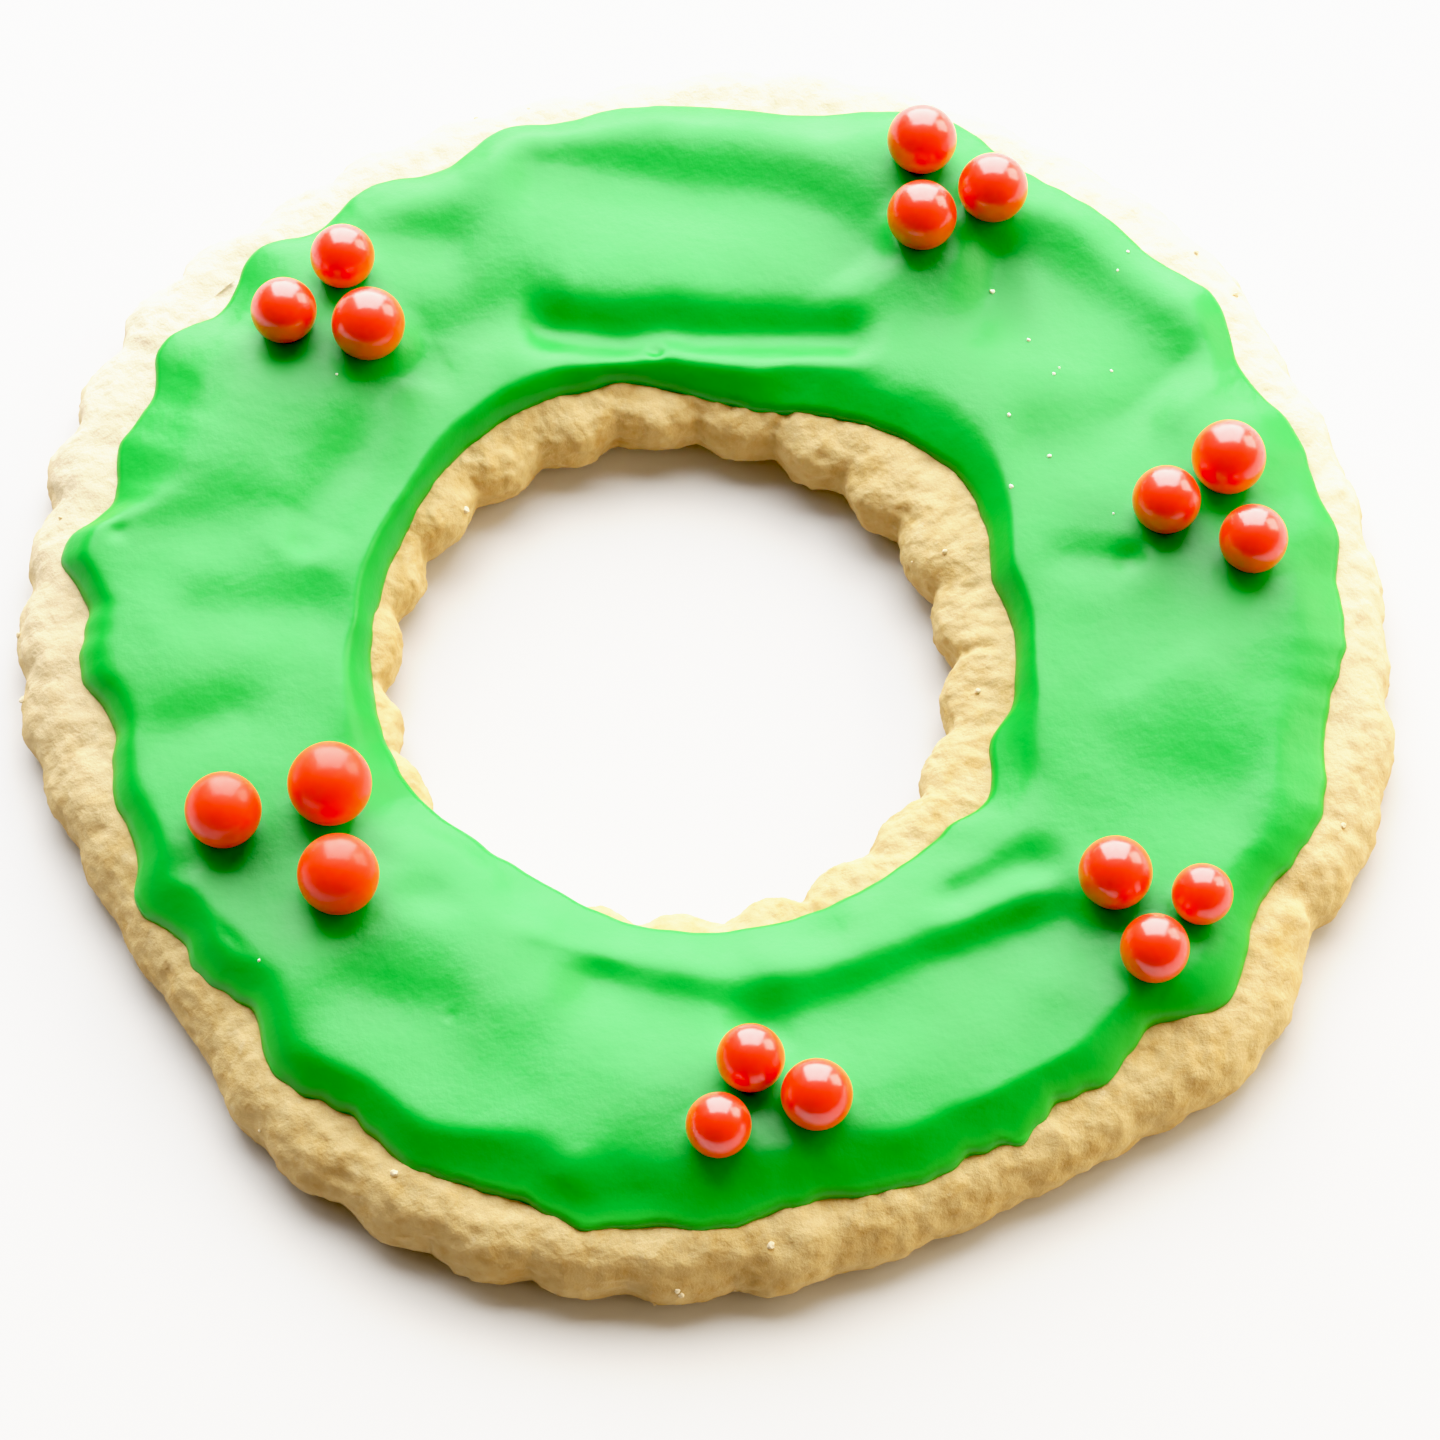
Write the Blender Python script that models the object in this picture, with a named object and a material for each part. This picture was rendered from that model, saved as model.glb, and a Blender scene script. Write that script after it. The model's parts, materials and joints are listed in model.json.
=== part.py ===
"""An iced sugar cookie: a fluted biscuit ring, green icing and sugar pearls.

Metres, +Z up. The cookie lies flat on its underside at z = 0, with the middle
of its outline at the origin. Angles are in degrees, anticlockwise from +X.
"""

import math

import bmesh
import bpy

MM = 0.001

# Biscuit ring
COOKIE_RADIUS = 43.0 * MM
COOKIE_THICKNESS = 4.8 * MM
HOLE_RADIUS = 17.9 * MM
HOLE_CENTRE = (-2.1 * MM, -2.0 * MM)

# Flutes of the two cutters. The outer ring has twice as many as the hole.
OUTER_FLUTES = 44
HOLE_FLUTES = 22
STEPS_PER_FLUTE = 4
STEPS = OUTER_FLUTES * STEPS_PER_FLUTE
FIRST_CUSP = 150.0
FLUTE_DEPTH = 0.8 * MM
HOLE_FLUTE_DEPTH = 0.9 * MM

# Icing
ICING_THICKNESS = 1.7 * MM
ICING_HOLE_RADIUS = 20.0 * MM
ICING_HOLE_CENTRE = (-0.6 * MM, -1.7 * MM)
ICING_GAP = 0.3 * MM

# Sugar pearls: how far each middle stands above the icing, as a share of its radius
PEARL_RISE = 0.74
PEARL_GAP = 0.3 * MM

# Where baking pushed the rim out or in: (angle, half width, push in mm).
RIM_SWELLS = [
    (64, 48, 1.1),
    (110, 16, -0.4),
    (146, 18, 1.0),
    (210, 28, -2.1),
    (256, 33, 1.2),
    (297, 22, -1.1),
    (320, 11, 1.1),
    (333, 5, -1.2),
    (345, 13, 0.5),
]

# Where the flutes are deeper or worn away: (angle, half width, change in mm).
FLUTE_WEAR = [
    (40, 50, -0.3),
    (150, 26, 0.5),
    (212, 34, -0.7),
    (302, 34, -0.75),
    (350, 20, -0.4),
]

# Lobes of the icing's outer edge: (angle, reach in mm, dip after it in mm).
ICING_LOBES = [
    (0, 40.1, 0.2),
    (10, 40.6, 0.3),
    (20, 40.4, 1.1),
    (37, 41.0, 0.3),
    (50, 40.2, 0.3),
    (67, 41.3, 0.6),
    (98, 39.4, 0.4),
    (109, 39.6, 1.3),
    (124, 39.4, 0.8),
    (136, 40.3, 1.5),
    (149, 40.5, 0.4),
    (160, 39.3, 1.0),
    (172, 40.7, 0.4),
    (184, 38.8, 1.0),
    (198, 38.0, 0.2),
    (209, 39.3, 0.3),
    (218, 38.5, 0.8),
    (230, 39.8, 0.6),
    (245, 40.4, 0.4),
    (261, 41.0, 0.2),
    (270, 40.5, 0.4),
    (290, 39.6, 0.6),
    (299, 39.6, 0.6),
    (308, 39.2, 0.8),
    (321, 40.7, 1.2),
    (341, 40.1, 1.0),
]

# The icing's inner edge, pushed from its circle: (angle, half width, mm).
ICING_HOLE_SWELLS = [
    (15, 10, -0.6),
    (37, 20, 1.0),
    (78, 28, -1.8),
    (128, 34, 0.7),
    (236, 34, -1.0),
    (330, 9, 0.9),
    (342, 7, -0.7),
]

# Slow waves of the icing's top: (angle, half width, height in mm).
ICING_WAVES = [
    (20, 24, 0.15),
    (60, 20, -0.15),
    (105, 26, 0.2),
    (160, 18, -0.2),
    (200, 22, 0.1),
    (250, 24, 0.25),
    (300, 26, -0.15),
    (335, 16, 0.15),
]

# Three pearls in each cluster: (x, y, diameter) in mm.
PEARL_CLUSTERS = {
    "back_left": [(-23.0, 25.3, 4.3), (-26.6, 21.2, 4.4), (-21.2, 20.1, 4.9)],
    "back_right": [(14.1, 34.1, 4.7), (18.6, 30.4, 4.7), (14.0, 28.3, 4.7)],
    "right": [(32.9, 10.3, 4.9), (28.9, 7.3, 4.5), (34.2, 4.5, 4.5)],
    "front_right": [(24.9, -18.7, 4.7), (30.1, -20.0, 3.9), (27.1, -23.7, 4.4)],
    "front": [(2.9, -30.9, 4.3), (6.8, -33.3, 4.5), (1.0, -35.2, 4.1)],
    "left": [(-29.0, -14.5, 4.9), (-22.6, -12.8, 5.4), (-21.9, -18.9, 5.2)],
}


def swell(angle, places):
    """Sum of smooth bumps, each a raised cosine about its own angle."""
    total = 0.0
    for centre, half_width, height in places:
        away = abs((angle - centre + 180.0) % 360.0 - 180.0)
        if away < half_width:
            total += height * MM * math.cos(math.pi * away / half_width / 2.0) ** 2
    return total


def flute_angle(step):
    """Angle of one step round the ring. Every cusp falls on a step."""
    return FIRST_CUSP + 360.0 * step / STEPS


def scallop(step, steps_per_lobe):
    """0 in the cusp between two lobes and 1 at the middle of a lobe."""
    return abs(math.sin(math.pi * step / steps_per_lobe))


def rim_radius(step, fluting):
    """Radius of the biscuit's outer edge. Fluting fades the lobes, 1 to 0."""
    angle = flute_angle(step)
    depth = max(0.0, FLUTE_DEPTH + swell(angle, FLUTE_WEAR)) * fluting
    cut = depth * (1.0 - scallop(step, STEPS_PER_FLUTE))
    return COOKIE_RADIUS + swell(angle, RIM_SWELLS) - cut


def hole_radius(step, fluting):
    """Radius of the hole, whose lobes bulge inwards."""
    bulge = fluting * scallop(step, STEPS // HOLE_FLUTES)
    return HOLE_RADIUS - HOLE_FLUTE_DEPTH * bulge


def icing_radius(angle):
    """Radius of the icing's lobed outer edge, eased from lobe to dip to lobe."""
    for index, (start, reach, dip) in enumerate(ICING_LOBES):
        following = ICING_LOBES[(index + 1) % len(ICING_LOBES)]
        span = (following[0] - start) % 360.0
        along = (angle - start) % 360.0
        if along < span:
            break
    low = min(reach, following[1]) - dip
    share = along / span
    near = reach if share < 0.5 else following[1]
    return (low + (near - low) * math.cos(math.pi * share) ** 2) * MM


def icing_hole_radius(angle):
    """Radius of the icing's inner edge."""
    return ICING_HOLE_RADIUS + swell(angle, ICING_HOLE_SWELLS)


def icing_height(step, share, waves):
    """Height at a share of the icing's thickness, with a share of its waves."""
    wave = waves * swell(flute_angle(step), ICING_WAVES)
    return COOKIE_THICKNESS + ICING_GAP + ICING_THICKNESS * share + wave


def ring_object(name, rings, material):
    """Closed ring through rings of points, the last joined to the first."""
    mesh = bpy.data.meshes.new(name)
    bm = bmesh.new()
    loops = [[bm.verts.new(point) for point in ring] for ring in rings]
    for index, loop in enumerate(loops):
        following = loops[(index + 1) % len(loops)]
        count = len(loop)
        for here in range(count):
            there = (here + 1) % count
            bm.faces.new((loop[here], loop[there], following[there], following[here]))
    bmesh.ops.recalc_face_normals(bm, faces=bm.faces)
    bm.to_mesh(mesh)
    bm.free()
    return linked(name, mesh, material)


def linked(name, mesh, material):
    """Object with one material, linked to the scene and shaded smooth."""
    mesh.materials.append(material)
    mesh.shade_smooth()
    mesh.set_sharp_from_angle(angle=math.radians(50))
    piece = bpy.data.objects.new(name, mesh)
    bpy.context.scene.collection.objects.link(piece)
    return piece


def finish(name, colour, roughness, coat=0.0):
    """Principled material for one food."""
    material = bpy.data.materials.new(name)
    material.use_nodes = True
    shader = material.node_tree.nodes["Principled BSDF"]
    shader.inputs["Base Color"].default_value = (*colour, 1.0)
    shader.inputs["Roughness"].default_value = roughness
    shader.inputs["Metallic"].default_value = 0.0
    shader.inputs["Coat Weight"].default_value = coat
    material.diffuse_color = (*colour, 1.0)
    return material


def polar(centre, radius, angle, height):
    """Point at a radius and an angle in degrees about a centre."""
    turn = math.radians(angle)
    return (
        centre[0] + radius * math.cos(turn),
        centre[1] + radius * math.sin(turn),
        height,
    )


def ring(centre, radius_at, height_at):
    """Points of one ring about a centre, one for each step."""
    return [
        polar(centre, radius_at(step), flute_angle(step), height_at(step))
        for step in range(STEPS)
    ]


def middle_of_outline():
    """Middle of the biscuit's bounding box, which becomes the origin."""
    points = ring((0.0, 0.0), lambda step: rim_radius(step, 1.0), lambda step: 0.0)
    across = [point[0] for point in points]
    along = [point[1] for point in points]
    return (
        (min(across) + max(across)) / 2.0,
        (min(along) + max(along)) / 2.0,
    )


def shifted(centre, origin):
    """A centre measured from the origin of the finished cookie."""
    return (centre[0] - origin[0], centre[1] - origin[1])


def make_cookie(origin):
    """Biscuit ring with soft shoulders, from the sole up the rim to the hole."""
    # (distance in from the edge in mm, height in mm, how strong the fluting is)
    outer_section = [
        (1.4, 0.0, 0.7),
        (0.4, 0.6, 0.95),
        (0.0, 2.0, 1.0),
        (0.2, 3.5, 0.95),
        (1.0, 4.5, 0.7),
        (2.6, COOKIE_THICKNESS / MM, 0.0),
    ]
    hole_section = [
        (2.2, COOKIE_THICKNESS / MM, 0.0),
        (0.9, 4.4, 0.6),
        (0.25, 3.5, 0.9),
        (0.0, 2.0, 1.0),
        (0.2, 0.6, 0.95),
        (0.9, 0.0, 0.7),
    ]
    outer_centre = shifted((0.0, 0.0), origin)
    hole_centre = shifted(HOLE_CENTRE, origin)
    rings = []
    for inset, height, fluting in outer_section:
        rings.append(ring(
            outer_centre,
            lambda step: rim_radius(step, fluting) - inset * MM,
            lambda step: height * MM,
        ))
    for inset, height, fluting in hole_section:
        rings.append(ring(
            hole_centre,
            lambda step: hole_radius(step, fluting) + inset * MM,
            lambda step: height * MM,
        ))
    return ring_object("cookie", rings, finish("biscuit", (0.82, 0.62, 0.36), 0.85))


def make_icing(origin):
    """Icing that lies on the biscuit with a rounded, lobed edge."""
    # (distance in from the edge in mm, share of the thickness, share of the waves)
    outer_section = [
        (0.4, 0.0, 0.0),
        (0.0, 0.3, 0.0),
        (0.7, 0.85, 0.3),
        (3.0, 1.0, 1.0),
    ]
    hole_section = [
        (6.0, 0.92, 1.0),
        (2.2, 0.98, 1.0),
        (0.6, 0.8, 0.3),
        (0.0, 0.3, 0.0),
        (0.4, 0.0, 0.0),
    ]
    outer_centre = shifted((0.0, 0.0), origin)
    hole_centre = shifted(ICING_HOLE_CENTRE, origin)
    rings = []
    for inset, share, waves in outer_section:
        rings.append(ring(
            outer_centre,
            lambda step: icing_radius(flute_angle(step)) - inset * MM,
            lambda step: icing_height(step, share, waves),
        ))
    for inset, share, waves in hole_section:
        rings.append(ring(
            hole_centre,
            lambda step: icing_hole_radius(flute_angle(step)) + inset * MM,
            lambda step: icing_height(step, share, waves),
        ))
    return ring_object("icing", rings, finish("green_icing", (0.05, 0.55, 0.08), 0.4, 0.3))


def ball(name, centre, radius, material):
    """Ball of eighty faces."""
    mesh = bpy.data.meshes.new(name)
    bm = bmesh.new()
    bmesh.ops.create_icosphere(bm, subdivisions=2, radius=radius)
    bmesh.ops.translate(bm, verts=bm.verts, vec=centre)
    bm.to_mesh(mesh)
    bm.free()
    return linked(name, mesh, material)


def seat(icing, name, centre, radius, material):
    """Dimple in the icing that keeps clear of the pearl in it."""
    cutter = ball(name, centre, radius + PEARL_GAP, material)
    cutter.hide_render = True
    cutter.display_type = "WIRE"
    dimple = icing.modifiers.new(name, "BOOLEAN")
    dimple.operation = "DIFFERENCE"
    dimple.solver = "EXACT"
    dimple.object = cutter


def make_pearls(icing, origin):
    """Eighteen sugar pearls, three to a cluster, each in its own dimple."""
    material = finish("red_pearl", (0.8, 0.06, 0.02), 0.25, 0.6)
    icing_top = COOKIE_THICKNESS + ICING_GAP + ICING_THICKNESS
    for cluster, pearls in PEARL_CLUSTERS.items():
        for number, (across, along, diameter) in enumerate(pearls, start=1):
            radius = diameter * MM / 2.0
            place = shifted((across * MM, along * MM), origin)
            centre = (*place, icing_top + radius * PEARL_RISE)
            name = f"pearl_{cluster}_{number}"
            ball(name, centre, radius, material)
            seat(icing, f"seat_{cluster}_{number}", centre, radius, material)


def main():
    for old in list(bpy.data.objects):
        bpy.data.objects.remove(old, do_unlink=True)
    origin = middle_of_outline()
    make_cookie(origin)
    icing = make_icing(origin)
    make_pearls(icing, origin)


main()
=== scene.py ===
import json
import math

import bmesh
import bpy
import numpy as np
from mathutils import Matrix, Vector
from mathutils.bvhtree import BVHTree

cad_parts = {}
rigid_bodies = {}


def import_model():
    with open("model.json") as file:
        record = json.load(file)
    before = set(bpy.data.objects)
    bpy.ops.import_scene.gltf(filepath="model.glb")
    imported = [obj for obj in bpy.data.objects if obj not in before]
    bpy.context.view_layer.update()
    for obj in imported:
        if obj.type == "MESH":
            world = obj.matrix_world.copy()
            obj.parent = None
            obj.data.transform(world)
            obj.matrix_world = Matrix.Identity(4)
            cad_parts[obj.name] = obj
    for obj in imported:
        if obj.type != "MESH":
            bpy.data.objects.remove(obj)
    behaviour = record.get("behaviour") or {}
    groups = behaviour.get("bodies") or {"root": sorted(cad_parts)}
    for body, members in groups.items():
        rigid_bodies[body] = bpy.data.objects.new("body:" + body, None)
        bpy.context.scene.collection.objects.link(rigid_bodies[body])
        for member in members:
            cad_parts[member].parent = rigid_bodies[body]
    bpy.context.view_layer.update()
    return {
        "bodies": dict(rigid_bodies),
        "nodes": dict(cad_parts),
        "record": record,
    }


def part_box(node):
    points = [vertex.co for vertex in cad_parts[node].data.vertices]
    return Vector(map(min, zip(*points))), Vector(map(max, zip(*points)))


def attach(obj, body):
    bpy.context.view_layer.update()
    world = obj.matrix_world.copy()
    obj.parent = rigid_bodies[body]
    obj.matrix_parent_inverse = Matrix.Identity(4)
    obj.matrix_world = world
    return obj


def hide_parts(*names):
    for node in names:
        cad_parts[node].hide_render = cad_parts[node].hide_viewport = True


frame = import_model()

mm = 0.001
fullTurn = 2.0 * math.pi
nodes = frame["nodes"]
body = list(frame["bodies"])[0]
slots = [entry["slot"] for entry in frame["record"]["materials"]]
print("frame loaded:", len(nodes), "nodes on", body, "with slots", slots)


# small helpers for node trees

def feed(tree, socket, value):
    # a socket is linked, anything else becomes the input's own value
    if isinstance(value, bpy.types.NodeSocket):
        tree.links.new(value, socket)
    else:
        socket.default_value = value


def addNode(tree, kind, values=None, **settings):
    # values is keyed by input name or input number
    node = tree.nodes.new(kind)
    for name, value in settings.items():
        setattr(node, name, value)
    for key, value in (values or {}).items():
        feed(tree, node.inputs[key], value)
    return node


def calc(tree, operation, *values):
    kind = "ShaderNodeMath"
    return addNode(tree, kind, dict(enumerate(values)), operation=operation).outputs[0]


def times(tree, first, *others):
    for other in others:
        first = calc(tree, "MULTIPLY", first, other)
    return first


def plus(tree, first, second):
    return calc(tree, "ADD", first, second)


def minus(tree, first, *others):
    for other in others:
        first = calc(tree, "SUBTRACT", first, other)
    return first


def vectors(tree, operation, values):
    return addNode(tree, "ShaderNodeVectorMath", values, operation=operation).outputs


def position(tree):
    return addNode(tree, "GeometryNodeInputPosition").outputs[0]


def axes(tree, spot):
    # a point's x, y and z
    return addNode(tree, "ShaderNodeSeparateXYZ", {0: spot}).outputs


def spread(tree, value, low, high, start=0.0, end=1.0, kind="SMOOTHSTEP"):
    # stretches low..high to start..end and stays inside it
    values = {"Value": value, "From Min": low, "From Max": high, "To Min": start, "To Max": end}
    return addNode(tree, "ShaderNodeMapRange", values, interpolation_type=kind).outputs[0]


def pushed(tree, geometry, direction, amount):
    # every point moved along a direction
    push = vectors(tree, "SCALE", {0: direction, "Scale": amount})[0]
    values = {"Geometry": geometry, "Offset": push}
    return addNode(tree, "GeometryNodeSetPosition", values).outputs[0]


def shape(tree, factor, points):
    # a curve drawn through points, read at a factor from 0 to 1
    node = addNode(tree, "ShaderNodeFloatCurve", {"Value": factor})
    node.mapping.use_clip = False
    line = node.mapping.curves[0]
    while len(line.points) < len(points):
        line.points.new(0.5, 0.0)
    for point, location in zip(line.points, points):
        point.location = location
        point.handle_type = "AUTO_CLAMPED"
    node.mapping.update()
    return node.outputs[0]


def noiseAt(tree, spot, scale, seed, detail=2.0, roughness=0.5):
    # noise of mean 0 from about -0.5 to 0.5
    values = {"Vector": spot, "W": seed, "Scale": scale, "Detail": detail, "Roughness": roughness}
    node = addNode(tree, "ShaderNodeTexNoise", values, noise_dimensions="4D")
    return minus(tree, node.outputs[0], 0.5)


def newTree(name, inputs):
    # every number in inputs becomes a named input; the tree takes and gives geometry
    tree = bpy.data.node_groups.new(name, "GeometryNodeTree")
    sockets = tree.interface
    sockets.new_socket("Geometry", in_out="INPUT", socket_type="NodeSocketGeometry")
    for label, value in inputs.items():
        if not isinstance(value, (int, float)):
            continue
        kind = "NodeSocketInt" if isinstance(value, int) else "NodeSocketFloat"
        sockets.new_socket(label, in_out="INPUT", socket_type=kind).default_value = value
    sockets.new_socket("Finish", in_out="INPUT", socket_type="NodeSocketMaterial")
    sockets.new_socket("Geometry", in_out="OUTPUT", socket_type="NodeSocketGeometry")
    return tree, addNode(tree, "NodeGroupInput").outputs


def endTree(tree, geometry, finish):
    # every tree ends in plain mesh with its material on it
    real = addNode(tree, "GeometryNodeRealizeInstances", {"Geometry": geometry})
    values = {"Geometry": real.outputs[0], "Material": finish}
    painted = addNode(tree, "GeometryNodeSetMaterial", values)
    addNode(tree, "NodeGroupOutput", {"Geometry": painted.outputs[0]})


def grow(name, tree, values, finish, base=None):
    # runs a tree on a mesh and returns its result as a plain object
    holder = bpy.data.objects.new(name + "Holder", base or bpy.data.meshes.new(name + "Base"))
    bpy.context.scene.collection.objects.link(holder)
    modifier = holder.modifiers.new(name, "NODES")
    modifier.node_group = tree
    for item in tree.interface.items_tree:
        if item.in_out != "INPUT":
            continue
        if item.name in values:
            modifier[item.identifier] = values[item.name]
        if item.name == "Finish":
            modifier[item.identifier] = finish
    graph = bpy.context.evaluated_depsgraph_get()
    mesh = bpy.data.meshes.new_from_object(
        holder.evaluated_get(graph), preserve_all_data_layers=True, depsgraph=graph)
    bpy.data.objects.remove(holder)
    return place(name, mesh)


def place(name, mesh):
    mesh.name = name
    piece = bpy.data.objects.new(name, mesh)
    bpy.context.scene.collection.objects.link(piece)
    return piece


def faceOut(mesh):
    # recalculates the normals of a closed mesh so that they point outwards
    bm = bmesh.new()
    bm.from_mesh(mesh)
    bmesh.ops.recalc_face_normals(bm, faces=bm.faces)
    if bm.calc_volume(signed=True) < 0.0:
        bmesh.ops.reverse_faces(bm, faces=bm.faces)
    for polygon in bm.faces:
        polygon.smooth = True
    bm.to_mesh(mesh)
    bm.free()


# small helpers for materials

def newFinish(name, **values):
    # a Principled material; spaces in input names are written as underscores
    material = bpy.data.materials.new(name)
    material.use_nodes = True
    tree = material.node_tree
    shader = tree.nodes["Principled BSDF"]
    for key, value in values.items():
        shader.inputs[key.replace("_", " ")].default_value = value
    spot = addNode(tree, "ShaderNodeTexCoord").outputs["Object"]
    return material, tree, shader, spot


def blendColours(tree, factor, first, second):
    values = {"Factor": factor, 6: first, 7: second}
    return addNode(tree, "ShaderNodeMix", values, data_type="RGBA").outputs[2]


def roughen(tree, shader, height, distance, strength=1.0):
    values = {"Height": height, "Distance": distance, "Strength": strength}
    feed(tree, shader.inputs["Normal"], addNode(tree, "ShaderNodeBump", values).outputs[0])


# biscuit

cookieLow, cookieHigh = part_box("cookie")
middleY = 0.144          # the outline's centre, mm from the origin along y

biscuit = {
    "Around": 960,               # points round the ring
    "Across": 100,               # rows round the section
    "Middle Y": middleY,         # mm, as all sizes below
    "Thickness": (cookieHigh.z - cookieLow.z) / mm,
    "Hole X": -2.1,
    "Hole Y": -2.0 + middleY,
    "Hole radius": 17.9,
    "Flutes": 44.0,
    "Hole flutes": 22.0,
    "Hole flute depth": 1.05,
    "First cusp": 150.0,         # degrees
    "Cusp rounding": 0.015,
    "Wander": 1.1,               # how far the flutes stray from even spacing
    "Notch at": 309.0,           # degrees, as its width and those of the fold and crease
    "Notch width": 1.6,
    "Notch depth": 0.5,
    "Fold at": 333.0,
    "Fold width": 1.7,
    "Fold depth": 1.0,
    "Crease at": 333.5,          # on top, above the fold
    "Crease width": 1.5,
    "Crease depth": 0.55,
    "Lump scale": 210.0,         # for each metre, as the grain's and the pits'
    "Lump height": 1.3,
    "Grain scale": 900.0,
    "Grain height": 0.6,
    "Pit scale": 420.0,
    "Pit depth": 0.12,
    "Smooth below": 0.0009,      # m above the floor
    # browning and painted shade: how much darker the cusps, the lower walls and the sole are drawn
    "Cusp browning and shade": 0.45,
    "Wall browning and shade": 0.2,
    "Sole browning and shade": 0.9,
    "Weld": 0.00002,             # m, closes the seams
    "Seed": 3.7,
    "look": {
        "crust": (0.56, 0.39, 0.172, 1),
        # the next two: the oven's browning, and painted shade low on the walls, in the cusps and at the
        # sole
        "brownedAndShaded": (0.44, 0.265, 0.085, 1),
        "dark": (0.30, 0.16, 0.05, 1),
        "flour": (0.64, 0.52, 0.31, 1),
        "toasted": (0.38, 0.23, 0.085, 1),
        # painted light: the paler colour drawn on the upper faces towards the back
        "pale": (0.66, 0.56, 0.385, 1),
        "patches": 250.0,        # for each metre, as the mottles, flecks and crumb
        "patchStrength": 1.2,
        "mottles": 800.0,
        "mottleStrength": 1.4,
        "flecks": 1000.0,
        "crumb": 1500.0,
        "crumbHeight": 0.0003,   # m
        "crumbStrength": 0.6,
        # painted light from behind: the upper faces towards the back are drawn paler, not on the hole's
        # wall: from, to, and how pale at each
        "paintedLightBack": (-0.022, 0.026, 0.0, 0.85),
        "paintedLightTop": (0.0012, 0.0036, 0.12, 1.0),
        "paintedLightRim": (0.024, 0.032, 0.0, 1.0),
    },
}

# rim radius in mm at each angle, where baking let the dough spread or shrink
rimRadius = [
    (0, 43), (11, 43.1), (24, 43.15), (34, 43.5), (43, 44.2), (55, 43.9), (67, 44), (80, 43.85),
    (92, 43.4), (103, 42.7), (114, 42.8), (127, 43), (138, 43.9), (145, 44.4), (157, 44), (168, 43.3),
    (182, 42.9), (194, 41.9), (203, 41), (214, 40.6), (224, 41.5), (232, 43.1), (242, 43.8),
    (254, 44.1), (268, 43.7), (278, 43.2), (287, 42.2), (296, 41.8), (305, 42.2), (314, 43.5),
    (322, 44), (330, 43), (336, 43.1), (344, 43.6), (353, 43.3), (360, 43),
]
# depth of the outer flutes in mm at each angle: crisp at the back left, worn in two places
fluteDepth = [
    (0, 0.4), (22, 0.4), (45, 0.45), (75, 0.6), (100, 0.8), (125, 0.95), (150, 1.25), (175, 0.85),
    (196, 0.4), (214, 0.25), (232, 0.4), (246, 0.8), (262, 0.85), (280, 0.5), (300, 0.25), (318, 0.35),
    (335, 0.5), (350, 0.45), (360, 0.4),
]
# section of the ring: (way round it, mm in from the edge, share of the height, 0 rim to 1 hole)
ringSection = [
    (0, 3, 0, 0.5), (0.03, 1.9, 0, 0), (0.06, 1.1, 0.02, 0), (0.1, 0.4, 0.1, 0), (0.15, 0.05, 0.24, 0),
    (0.19, 0, 0.36, 0), (0.24, 0.25, 0.55, 0), (0.29, 0.8, 0.73, 0), (0.34, 1.7, 0.88, 0),
    (0.4, 3, 0.97, 0), (0.45, 4.4, 1, 0), (0.52, 4.4, 1, 1), (0.58, 2.9, 1, 1), (0.64, 1.6, 0.95, 1),
    (0.7, 0.7, 0.84, 1), (0.76, 0.18, 0.68, 1), (0.82, 0, 0.48, 1), (0.88, 0.08, 0.28, 1),
    (0.93, 0.45, 0.1, 1), (0.96, 1.1, 0.02, 1), (0.98, 1.9, 0, 1), (1, 3, 0, 0.5),
]
# how strong the flutes are on the way round the section
fluteFade = [
    (0, 0), (0.05, 0.6), (0.1, 0.95), (0.16, 1), (0.21, 0.95), (0.27, 0.7), (0.32, 0.42), (0.38, 0.16),
    (0.45, 0), (0.52, 0), (0.59, 0.22), (0.65, 0.6), (0.71, 0.9), (0.77, 1), (0.85, 1), (0.92, 0.8),
    (0.97, 0.4), (1, 0),
]
# how deep the crease is on the way round the section
creaseFade = [(0, 0), (0.2, 0), (0.32, 1), (0.42, 0.3), (0.48, 0), (1, 0)]


def sectionLine(column):
    # one column of the section against the way round it
    return [(line[0], line[column]) for line in ringSection]


def turns(points):
    # angles in degrees become shares of a full turn
    return [(angle / 360.0, value) for angle, value in points]


def groove(tree, take, degrees, name):
    # a smooth dip of depth 1 at one angle
    away = calc(tree, "DIVIDE", minus(tree, degrees, take[name + " at"]), take[name + " width"])
    return calc(tree, "EXPONENT", times(tree, away, away, -1.0))


def lobes(tree, take, degrees, flutes, wander):
    # 0 in each cusp and 1 on each lobe, from a rounded sine
    turn = times(tree, minus(tree, degrees, take["First cusp"]), math.pi / 360.0)
    wave = calc(tree, "SINE", plus(tree, times(tree, turn, flutes), wander))
    return calc(tree, "SQRT", plus(tree, times(tree, wave, wave), take["Cusp rounding"]))


def edgePoint(tree, radius, radians, across, along):
    x = plus(tree, times(tree, radius, calc(tree, "COSINE", radians)), across)
    y = plus(tree, times(tree, radius, calc(tree, "SINE", radians)), along)
    return addNode(tree, "ShaderNodeCombineXYZ", {"X": x, "Y": y}).outputs[0]


def fluteWaves(tree, take, degrees, radians):
    # outer and hole flutes, which wander a little, as a soft dough's do
    circle = edgePoint(tree, 1.0, radians, 0.0, 0.0)
    wander = times(tree, noiseAt(tree, circle, 2.2, take["Seed"]), take["Wander"])
    outer = lobes(tree, take, degrees, take["Flutes"], wander)
    inner = lobes(tree, take, degrees, take["Hole flutes"], times(tree, wander, 0.8))
    return outer, inner


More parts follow.
